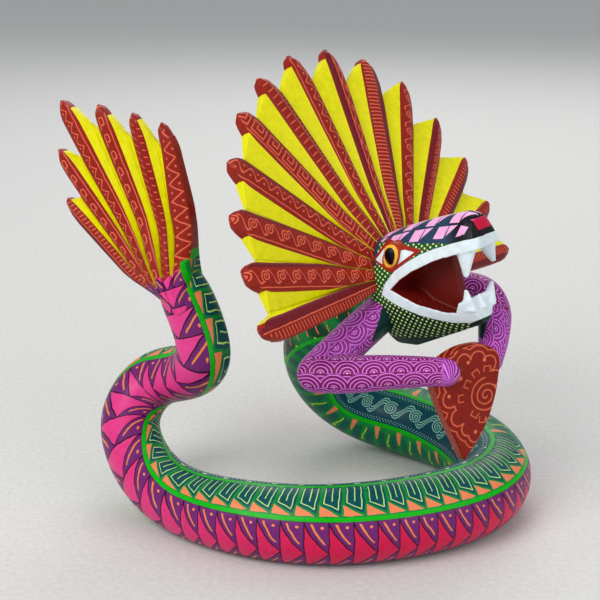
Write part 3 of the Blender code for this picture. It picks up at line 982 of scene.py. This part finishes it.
feathers = {
    "crestRays": [hashFeather, spiralFeather, spiralFeather, waveFeather, grecaFeather, ladderFeather,
                  waveFeather, sideSpiralFeather, closeBarsFeather, hookFeather, squareFeather, rungFeather,
                  bareFeather, rungFeather],
    "tailFeathers": [toothedFeather, slashFeather, caneFeather, smallToothFeather, caneFeather, hashFeather],
}
featherFinishes = {"root": paintedWood("tailRootPaint", tailRootPaint, seat=fans["tailFeathers"]["seat"])}
for draw in (webPaint, litEdgePaint, backFeather, *feathers["crestRays"], *feathers["tailFeathers"]):
    if draw.__name__ not in featherFinishes:
        featherFinishes[draw.__name__] = paintedWood(draw.__name__, draw, wobble=0.3)
for fanName, fan in fans.items():
    piece, fanSpots, belongs = fanPiece(fanName, fan)
    order = []
    for face in piece.data.polygons:
        kind, owner, behind = belongs[min(fanSpots[v][0] for v in face.vertices)]
        if kind == "web":
            label = "webPaint"
        # side walls and rims get the lightened red, painted light for their shade
        elif kind in ("edge", "rim"):
            label = "litEdgePaint"
        else:
            label = "backFeather" if behind else feathers[fanName][owner].__name__
        spot = (face.center - middle) / mm
        if fanName == "tailFeathers" and spot.z < 101.4 + (spot.x + 63) * 0.8:     # a slanting border
            label = "root"
        if label not in order:
            order.append(label)
            piece.data.materials.append(featherFinishes[label])
        face.material_index = order.index(label)
    dropDoubled(piece)
    tidyMesh(piece)
    handIn(piece, 30)


# The head

headForm = {
    "wall": 4.6,            # mm, left standing down the middle of the mouth
    "lip": 3.0,             # mm of lip round the hollow
    "lipStep": 1.2,         # mm, how deep the hollow is
    "around": 64,           # corners round each section
    "grain": 0.55,          # mm, how fine the finished surface is
    # ahead of the mouth's corners, half the width, top and bottom, mm
    "sections": ((-13.5, 13.0, 15.5, -19.5), (-10.5, 15.8, 20.0, -25.4), (-3, 16.5, 22.2, -27.2),
                 (8, 15.8, 23.5, -25.6), (18, 14.2, 24.1, -24.2), (28, 12.4, 24.4, -22.6),
                 (35.6, 11.3, 24.4, -20.6), (39.6, 10.9, 22.6, -18.0), (41.2, 10.2, 17.5, -16.0)),
    # foot of a tooth ahead, aside and up, its length, radius and lean forward, mm
    "teeth": ((34.8, -7.0, 12.4, -13.6, 5.4, -2.6), (29.0, -6.9, -15.0, 9.0, 3.7, 1.6),
              (34.8, 7.0, 12.4, -11.2, 5.4, 1.2), (29.8, 6.9, -15.0, 8.6, 3.7, 3.4),
              (30.6, -1.0, -15.0, 5.4, 3.4, 1.0)),
    "eye": (4.0, 12.8, 13.8),       # ahead, aside and up, mm
    "eyeSize": (4.6, 4.5, 5.4),
    "gapeUpper": ((0, 0), (5, 3.0), (11, 5.4), (20, 7.6), (30, 8.8)),
    "gapeLower": ((31.8, -10.4), (26.8, -10.8), (24.2, -14.4), (20, -13.6), (10, -8.0)),
    "colours": {
        "white": (226, 240, 244), "mouth": (104, 16, 8), "deepGreen": (2, 44, 36), "cheek": (4, 84, 44),
        "cheekDot": (222, 242, 146), "navy": (34, 62, 92), "night": (8, 8, 16), "rose": (246, 178, 228),
        "black": (6, 3, 6), "noseRed": (206, 0, 58), "brown": (158, 32, 20), "gold": (244, 184, 62),
        "rust": (166, 48, 14), "blush": (206, 84, 140),
    },
}
colours.update(headForm["colours"])
headAt = standAt((47.1, -1.6, 103.9), direction(37, 18))


def headPoint(a, s, c):
    # a ahead of the mouth corners, s toward the far side, c up, all in mm
    return headAt @ (Vector((a, s, c)) * mm)


def skin(name, rings):
    # closed rings of equal count, skinned and capped
    bm = bmesh.new()
    made = [[bm.verts.new(p) for p in ring] for ring in rings]
    for lower, upper in zip(made, made[1:]):
        for i in range(len(lower)):
            j = (i + 1) % len(lower)
            bm.faces.new((lower[i], lower[j], upper[j], upper[i]))
    bm.faces.new(made[0][::-1])
    bm.faces.new(made[-1])
    bmesh.ops.triangulate(bm, faces=bm.faces)
    bmesh.ops.recalc_face_normals(bm, faces=bm.faces)
    mesh = bpy.data.meshes.new(name)
    bm.to_mesh(mesh)
    bm.free()
    obj = bpy.data.objects.new(name, mesh)
    bpy.context.scene.collection.objects.link(obj)
    return obj


def slab(name, outline, halfWidth):
    return skin(name, [[headPoint(a, hand * halfWidth(a), c) for a, c in outline] for hand in (-1, 1)])


def combine(target, tool, operation):
    modifier = target.modifiers.new(operation.lower(), "BOOLEAN")
    modifier.operation = operation
    modifier.solver = "MANIFOLD"
    modifier.object = tool
    pick(target)
    bpy.ops.object.modifier_apply(modifier=modifier.name)
    bpy.data.objects.remove(tool, do_unlink=True)


def toothAt(a, s, c, rise, radius, lean):
    base, tip = headPoint(a, s, c), headPoint(a + lean, s * 1.2, c + rise)
    axis = tip - base
    across = (headPoint(0, 1, 0) - headPoint(0, 0, 0)).normalized()
    turn = Matrix((across.cross(axis).normalized(), across, axis.normalized())).transposed().to_4x4()
    deselect()
    bpy.ops.mesh.primitive_cone_add(vertices=24, radius1=radius * mm, radius2=radius * 0.2 * mm,
                                    depth=axis.length)
    tooth = bpy.context.object
    tooth.data.transform(Matrix.Translation((base + tip) / 2) @ turn @ Matrix.Diagonal((1, 0.66, 1, 1)))
    return tooth


def headLoop(a, half, top, bottom):
    # one section: a squarish oval that narrows toward the crown and the chin
    loop = []
    for k in range(headForm["around"]):
        turn = 2 * math.pi * k / headForm["around"]
        cos, sin = math.cos(turn), math.sin(turn)
        across = math.copysign(abs(cos) ** 0.72, cos)
        upright = math.copysign(abs(sin) ** 0.8, sin)
        narrow = 1 - (0.26 if upright > 0 else 0.30 + 0.004 * a) * upright ** 2
        loop.append(headPoint(a, half * across * narrow, (top if upright > 0 else -bottom) * upright))
    return loop


def makeHead():
    sections = headForm["sections"]
    steps = 4       # from one section to the next
    loops = []
    for low, high in zip(sections, sections[1:]):
        for part in range(steps):
            loops.append(headLoop(*(p + (q - p) * part / steps for p, q in zip(low, high))))
    skull = skin("serpentHead", [*loops, headLoop(*sections[-1])])
    upper, lower = headForm["gapeUpper"], headForm["gapeLower"]
    step = headForm["lipStep"]
    hollow = ((5, 1), (11, 5.4 + step), (20, 7.6 + step), (27, 8.5 + step), (27, 4), (23.5, -8),
              (23.0, -14.2 - step), (20, -13.6 - step), (10, -8.0 - step), (5, -2))
    cutter = slab("gape", (*upper, (60, 9.4), (60, -40), (32.4, -40), *lower), lambda a: 33)
    combine(cutter, slab("hollow", hollow, lambda a: 15.4 - 0.13 * a - headForm["lip"]), "UNION")
    wall = slab("wall", ((-20, -30), (24, -30), (24, 30), (-20, 30)), lambda a: headForm["wall"] / 2)
    combine(cutter, wall, "DIFFERENCE")
    combine(skull, cutter, "DIFFERENCE")
    for tooth in headForm["teeth"]:
        combine(skull, toothAt(*tooth), "UNION")
    ahead, aside, up = headForm["eye"]
    for hand in (-1, 1):
        deselect()
        bpy.ops.mesh.primitive_uv_sphere_add(segments=32, ring_count=20, radius=1.0)
        eye = bpy.context.object
        eye.data.transform(headAt @ Matrix.Translation(Vector((ahead, hand * aside, up)) * mm)
                           @ Matrix.Diagonal((*(r * mm for r in headForm["eyeSize"]), 1)))
        combine(skull, eye, "UNION")
    smoothOver(skull, headForm["grain"], 3)
    return skull


# ahead of the mouth's corners and up, mm
lipLine = ((-5.3, -1.5), (-1.6, -4.9), (3.4, -9.1), (9.0, -12.9), (14.8, -16.2), (20.4, -18.9), (27.0, -20.6),
           (48.0, -16.5), (48.0, 13.9), (31.7, 13.7), (23.0, 13.0), (16.2, 11.9), (10.7, 10.2), (3.3, 7.3),
           (-2.1, 3.0))
mouthLine = ((-0.3, 0.0), (10.0, -8.3), (20.0, -13.9), (24.3, -14.7), (26.6, -9.0), (26.6, 8.9), (20.0, 7.9),
             (11.0, 5.7), (5.0, 3.3))


def headPaint(a, s, c):
    wide = size(s)

    def area(*corners):
        return ink(within(a, c, *corners))

    # dots on the cheeks and jaw
    lattice = least(reach(fold(a, 2.6), fold(c, 2.3)), reach(fold(a, 2.6, 1.3), fold(c, 2.3, 1.15)))
    dotted = both(ink(lattice, 0.44), ink(0.0 - times(a, 0.2, c), 22.4), ink(a, 26.5))
    # the crown, with pink fins in two rows
    turn = calc("ARCTAN2", c - 8.0, wide) * (180 / math.pi)
    crown = both(ink(18.6 - times(a, 0.16, c)), ink(0.0 - c, -11.5))
    fins = []
    for low, high, shift, last in ((39, 61, 1.6, 34.4), (63, 86, 6.1, 39.8)):
        up = times(turn, 1 / (high - low), -low / (high - low))
        ahead = calc("WRAP", times(up, -2.6, a + shift), 11.5, 0.0)
        fin = within(ahead, up * 5.0, (0.3, 0.5), (4.9, 0.3), (5.2, 5.0), (0.4, 5.0))
        after = within(ahead, up * 5.0, (5.6, 1.0), (9.2, 5.0), (5.6, 5.0))
        fins.append(both(ink(least(fin, after)), between(a, -8, last)))
    snout = between(s, -5.0, 7.5)
    ey = c - 13.6
    tilt = times(ey, -0.22, a - 2.9)
    iris = reach(tilt, ey * 0.96)
    pupil = reach(times(tilt, 1.26, -0.85), ey * 0.98)
    lip = within(a, c, *lipLine)
    # the inside of the mouth reaches a little further where the head is hollow: the mouth's dark red is
    # carried over the inner sides of the lips as painted shade
    innerLipShade = most(ink(within(a, c + 2.2, *mouthLine)), ink(within(a, c - 1.6, *mouthLine)))
    inside = most(area(*mouthLine), both(innerLipShade, ink(times(a, 0.172, wide), 12.35)))
    return layers(
        "deepGreen",
        (between(c, -6, 30, 6), "cheek"),
        (dotted, "cheekDot"),
        (crown, over("navy", between(a, 30, 90, 5), "night")),
        (both(ink(35.4 - a), ink(13.6 - c), ink(c, 20.6)), "black"),
        (both(most(*fins), crown), "rose"),
        (ink(within(a, c, (32.4, 15.8), (36.0, 16.2), (37.8, 18.4), (34.8, 19.6)), 0.1), "rose"),
        (both(ink(size(turn - 87), 2.2), between(a, -9, 33), crown), "white"),
        (both(area((36.8, 18.6), (40.4, 16.8), (41.0, 20.8), (37.2, 21.2)), snout), "blush"),
        (both(area((40.2, 16.4), (48, 15.6), (48, 22), (39.4, 20.6)), snout), "noseRed"),
        (both(ink(a + 5.6), ink(10.5 - c)), "navy"),
        # eye
        (area((-7.6, 13.0), (2.2, 6.6), (17.2, 13.4), (-0.8, 20.2)), "brown"),
        (area((-6.2, 13.0), (2.3, 8.2), (13.3, 13.0), (0.0, 18.2)), "white"),
        (ink(iris, 5.2), "rust"),
        (ink(iris, 4.5), "gold"),
        (ink(pupil, 3.5), "black"),
        # lips, teeth and the inside of the mouth
        (ink(lip), "white"),
        (ink(size(lip) + 0.05, 0.16), "deepGreen"),
        (inside, "mouth"))


skull = makeHead()
giveFinishes(skull, paintedWood("headPaint", headPaint, wobble=0.22, seat=headAt))
tidyMesh(skull)
handIn(skull, 60)


# Arms

armForm = {
    "grain": 0.6,           # mm, how fine the finished surface is
    "thickness": 16.4,
    # x, y and height of the middle, and thickness, all in mm
    "nearUpper": ((42, 6, 94, 16.4), (30, -9, 88.5, 16.4), (17, -21.5, 80.3, 16.4), (7.6, -29.6, 73.8, 16.4)),
    "nearFore": ((6.6, -31.3, 73.3, 15.908), (20, -33.2, 73.6, 15.58), (34, -34.5, 74.8, 14.432),
                 (50, -36.0, 75.8, 12.464), (58.8, -37.6, 76.0, 11.424)),
    "far": ((52, 14, 94, 14.76), (66, 14, 96, 15.088), (78, 10, 95, 15.088), (82.5, 2, 89, 14.76),
            (81.5, -8, 81, 13.12), (79, -17, 74, 11.2)),
    "colours": {
        "plum": (148, 42, 138), "deepPlum": (126, 20, 90), "lilac": (226, 132, 236),
        "paleLilac": (236, 190, 246), "throatGreen": (2, 50, 44),
    },
}
colours.update(armForm["colours"])


def limbTube(stations):
    placed = [(x * mm + middle.x, y * mm + middle.y, z * mm, t / 2 * mm) for x, y, z, t in stations]
    path = flowingPath(placed, 8)

    def rounded(part):
        (before, _), (last, radius) = part[-2:]
        ahead = (last - before).normalized()
        return part + [(last + ahead * radius * math.sin(math.radians(t)), radius * math.cos(math.radians(t)))
                       for t in range(10, 90, 10)]

    path = rounded(rounded(path)[::-1])
    deselect()
    bpy.ops.curve.primitive_nurbs_path_add()
    curve = bpy.context.object.data
    curve.splines.clear()
    line = curve.splines.new("POLY")
    line.points.add(len(path) - 1)
    for knot, (place, radius) in zip(line.points, path):
        knot.co = (*place, 1)
        knot.radius = radius
    curve.twist_mode = "MINIMUM"
    curve.bevel_depth = 1.0
    curve.bevel_resolution = 14
    curve.use_fill_caps = True
    bpy.ops.object.convert(target="MESH")
    tube = bpy.context.object
    tidyMesh(tube)
    return tube, path


def joinLimbs(name, *tubes):
    deselect()
    for tube in tubes:
        tube.select_set(True)
    bpy.context.view_layer.objects.active = tubes[0]
    if len(tubes) > 1:
        bpy.ops.object.join()
    arm = bpy.context.object
    arm.name = arm.data.name = name
    smoothOver(arm, armForm["grain"], 10)
    return arm


def scalesPaint(x, y):
    # plan: x from the hand, y round the arm; each scale hides the lower part of the row behind
    long, tall = 10.6, 6.7
    row = calc("FLOOR", times(y, 1 / tall, 0.75))
    inRow = y - (row - 0.75) * tall
    shift = calc("FRACT", row * 0.5) * long
    front = reach(fold(x + shift, long), inRow)
    behind = reach(fold(x + shift + long / 2, long), inRow + tall)
    covered = ink(front, long * 0.62)
    rings = behind + covered * (front - behind)
    return layers(
        "deepPlum",
        (between(y, -30, -1, 5.0), "plum"),
        (ink(size(fold(rings, 1.55, 0.2)), 0.22), "lilac"),
        (both(ink(front, 0.6), covered), "paleLilac"))


def throatPaint(x, y):
    return over("throatGreen", ink(size(fold(x, 3.1)), 0.2) * between(y, -3, 3), "darkGreen")


def planAlong(arm, path, facing):
    # paint plan for an arm: how far from the hand and how far round each corner lies
    mesh = arm.data
    plan = mesh.uv_layers.new(name="paint")
    points = [Vector(p) for p, _ in path]
    lengths = runningLengths(points)
    spots = []
    for vert in mesh.vertices:
        best = None
        for k, (a, b) in enumerate(zip(points, points[1:])):
            way = b - a
            share = max(0.0, min(1.0, (vert.co - a).dot(way) / way.length_squared))
            foot = a + way * share
            gap = (vert.co - foot).length
            if best is None or gap < best[0]:
                best = (gap, lengths[k] + way.length * share, foot, way.normalized())
        _, along, foot, way = best
        out = vert.co - foot
        front = (facing - way * facing.dot(way)).normalized()
        spots.append((along, math.atan2(out.dot(way.cross(front)), out.dot(front))))
    radius = armForm["thickness"] / 2
    for face in mesh.polygons:
        first = spots[face.vertices[0]][1]
        for loopIndex in face.loop_indices:
            along, angle = spots[mesh.loops[loopIndex].vertex_index]
            plan.data[loopIndex].uv = ((lengths[-1] - along) / mm, nearTurn(angle, first) * radius)


def nearThroat(x, z):
    # where the near arm's root is still in the throat's green
    return z > 83 and x > 31.5 + 0.41 * (z - 88.9)


def farThroat(x, z):
    return 82 < z < 89.5 and x < 78.5 - 0.4 * max(88 - z, 0)


nearUpper, upperPath = limbTube(armForm["nearUpper"])
nearFore, forePath = limbTube(armForm["nearFore"])
farWhole, farPath = limbTube(armForm["far"])
capRings = 8        # of the rounded ends, left out where the two parts of the near arm meet
nearPath = upperPath[capRings:-capRings] + forePath[capRings + 1:]
nearArm = joinLimbs("nearArm", nearUpper, nearFore)
farArm = joinLimbs("farArm", farWhole)
armFinishes = [paintedWood("scalesPaint", scalesPaint, wobble=0.3), paintedWood("throatPaint", throatPaint)]
for arm, path, inThroat in ((nearArm, nearPath, nearThroat), (farArm, farPath, farThroat)):
    giveFinishes(arm, *armFinishes)
    for face in arm.data.polygons:
        spot = (face.center - middle) / mm
        face.material_index = int(inThroat(spot.x, spot.z))
    tidyMesh(arm)
    planAlong(arm, path, Vector((0, -0.8, -0.6)))
    handIn(arm, 60)


# The heart

heartForm = {
    "thickness": 7.8, "edge": 1.2,      # mm
    "seat": standAt((67, -31, 61), direction(65, math.degrees(math.atan(0.12)))),
    # across and up, mm: the outline from the top round by the right, with its one sharp corner below
    "tip": (-2.2, -24),
    "right": ((3, 23.6), (10.4, 22.6), (15.4, 18.2), (15.0, 9), (11.8, -3), (6.2, -14)),
    "left": ((-5.8, -16), (-10.2, -6), (-14.2, 5), (-15.9, 12.6), (-13.4, 17.2), (-7, 21.4)),
    # the scalloped edge is the outline of a row of overlapping rounds; the last five fill its middle
    "rounds": ((-7.6, 8.8, 3.6), (-8.2, 3.2, 3.7), (-4.8, -5.2, 3.5), (-0.6, -10.6, 3.0), (2.6, -13.8, 2.9),
               (-6.0, 14.6, 3.4), (-1.6, 17.6, 3.2), (5.0, 17.8, 3.4), (10.2, 15.4, 3.3), (12.6, 9.0, 3.2),
               (12.0, 2.0, 3.0), (9.6, -5.0, 3.0), (6.4, -10.6, 2.8), (3.0, 3.0, 10.2), (2.4, -4.0, 6.6),
               (2.6, 12.0, 6.2), (2.8, -10.2, 2.4), (9.2, 11.2, 2.6)),
    "dots": ((-9.0, 4.3), (-3.1, 10.9), (0.4, 17.0), (8.1, 17.2), (2.9, -12.4)),
    "spiral": (8.4, 2.2),
    # square brackets that open toward the spiral: across, up and turn in degrees
    "brackets": ((-3.2, 2.4, 180), (-0.1, 7.9, 150), (3.9, 11.9, 122), (9.2, 13.0, 82), (2.9, -4.8, 235),
                 (6.4, -7.6, 262)),
    "colours": {"heartRed": (132, 22, 8), "heartLine": (208, 96, 62), "heartDot": (232, 112, 76)},
}
colours.update(heartForm["colours"])


def makeHeart():
    deselect()
    bpy.ops.curve.primitive_bezier_circle_add()
    curve = bpy.context.object.data
    curve.splines.clear()
    curve.dimensions = "2D"
    curve.fill_mode = "BOTH"
    curve.resolution_u = 12
    edge = heartForm["edge"] * mm
    curve.extrude = heartForm["thickness"] / 2 * mm - edge
    curve.bevel_depth = edge
    curve.bevel_resolution = 4
    curve.offset = -edge
    spline = curve.splines.new("BEZIER")
    marks = (*heartForm["right"], heartForm["tip"], *heartForm["left"])
    spline.bezier_points.add(len(marks) - 1)
    spline.use_cyclic_u = True
    for knot, mark in zip(spline.bezier_points, marks):
        knot.co = (mark[0] * mm, mark[1] * mm, 0)
        knot.handle_left_type = knot.handle_right_type = "VECTOR" if mark == heartForm["tip"] else "AUTO"
    bpy.ops.object.convert(target="MESH")
    heart = bpy.context.object
    heart.name = heart.data.name = "heldHeart"
    quarter = math.radians(90)
    upright = Matrix.Rotation(quarter, 4, "Y") @ Matrix.Rotation(quarter, 4, "Z")
    heart.data.transform(heartForm["seat"] @ upright)
    tidyMesh(heart)
    return heart


def heartPaint(out, y, z):
    edge = least(*(reach(y - a, z - b) - r for a, b, r in heartForm["rounds"]))
    sy, sz = heartForm["spiral"]
    marks = most(ink(size(edge), 0.34), ink(size(edge - 2.3), 0.26),
                 ink(spiralFrom(y - sy, z - sz, 2.6, 2.85, 0.1, -1), 0.34))
    for a, b, turn in heartForm["brackets"]:
        cos, sin = math.cos(math.radians(turn)), math.sin(math.radians(turn))
        py, pz = y - a, z - b
        far = times(pz, sin, py * cos)
        across = size(times(pz, cos, py * -sin))
        box = size(most(across - 1.5, size(far) - 1.4))
        marks = most(marks, both(ink(box, 0.26), ink(0.0 - far, 1.15)))
    rim = both(ink(out, 3.0), ink(y, 5.0))      # the narrow side, with slanting strokes of its own
    dots = least(*(reach(y - a, z - b) for a, b in heartForm["dots"]))
    slants = ink(size(fold(times(out, 0.5, z), 1.9)), 0.26)
    return layers(
        "heartRed",
        (both(marks, 1.0 - rim), "heartLine"),
        (ink(dots, 0.75), "heartDot"),
        (both(slants, rim), "heartLine"))


heart = makeHeart()
giveFinishes(heart, paintedWood("heartPaint", heartPaint, wobble=0.3, seat=heartForm["seat"]))
handIn(heart, 40)


# Floor, light and camera

studio = {
    "floor": (0.72, 0.71, 0.68), "floorSize": 14,
    "sky": (0.9, 0.94, 1.0), "skyStrength": 0.46,
    # place in m, size in m and power in W
    "lights": {"windowLight": ((-0.8, -0.9, 1.1), 0.9, 14.5), "fillLight": ((0.9, -0.8, 0.7), 1.2, 4.5),
               "backLight": ((0.2, 1.0, 1.0), 1.0, 7)},
    "lit": (0, 0, 0.08),                # what the lights point at, m
    "target": (1.4, -10.8, 95.0),       # what the camera points at, mm
    "distance": 0.600, "elevation": 17.0, "lens": 85, "sensor": 36,
}


def aim(thing, place):
    thing.rotation_euler = (Vector(place) - thing.location).to_track_quat("-Z", "Y").to_euler()


deselect()
bpy.ops.mesh.primitive_plane_add(size=studio["floorSize"], location=(0, 0, 0))
floor = bpy.context.object
floor.name = "studioFloor"
floor.data.materials.append(paintedWood("studioFloor", lambda *spots: studio["floor"], 0.8, brushed=0.03))

world = bpy.data.worlds.new("studio")
bpy.context.scene.world = world
world.use_nodes = True
sky = world.node_tree.nodes["Background"]
sky.inputs["Color"].default_value = (*studio["sky"], 1)
sky.inputs["Strength"].default_value = studio["skyStrength"]
for lightName, (place, across, power) in studio["lights"].items():
    bpy.ops.object.light_add(type="AREA", location=place)
    light = bpy.context.object
    light.name = lightName
    light.data.size = across
    light.data.energy = power
    aim(light, studio["lit"])

target = Vector(studio["target"]) * mm
lift = math.radians(studio["elevation"])
bpy.ops.object.camera_add(location=target + Vector((0, -math.cos(lift), math.sin(lift))) * studio["distance"])
camera = bpy.context.object
aim(camera, target)
camera.data.lens = studio["lens"]
camera.data.sensor_width = studio["sensor"]
camera.data.clip_start = 0.01
bpy.context.scene.camera = camera
bpy.context.scene.view_settings.view_transform = "Standard"
print("studio ready")
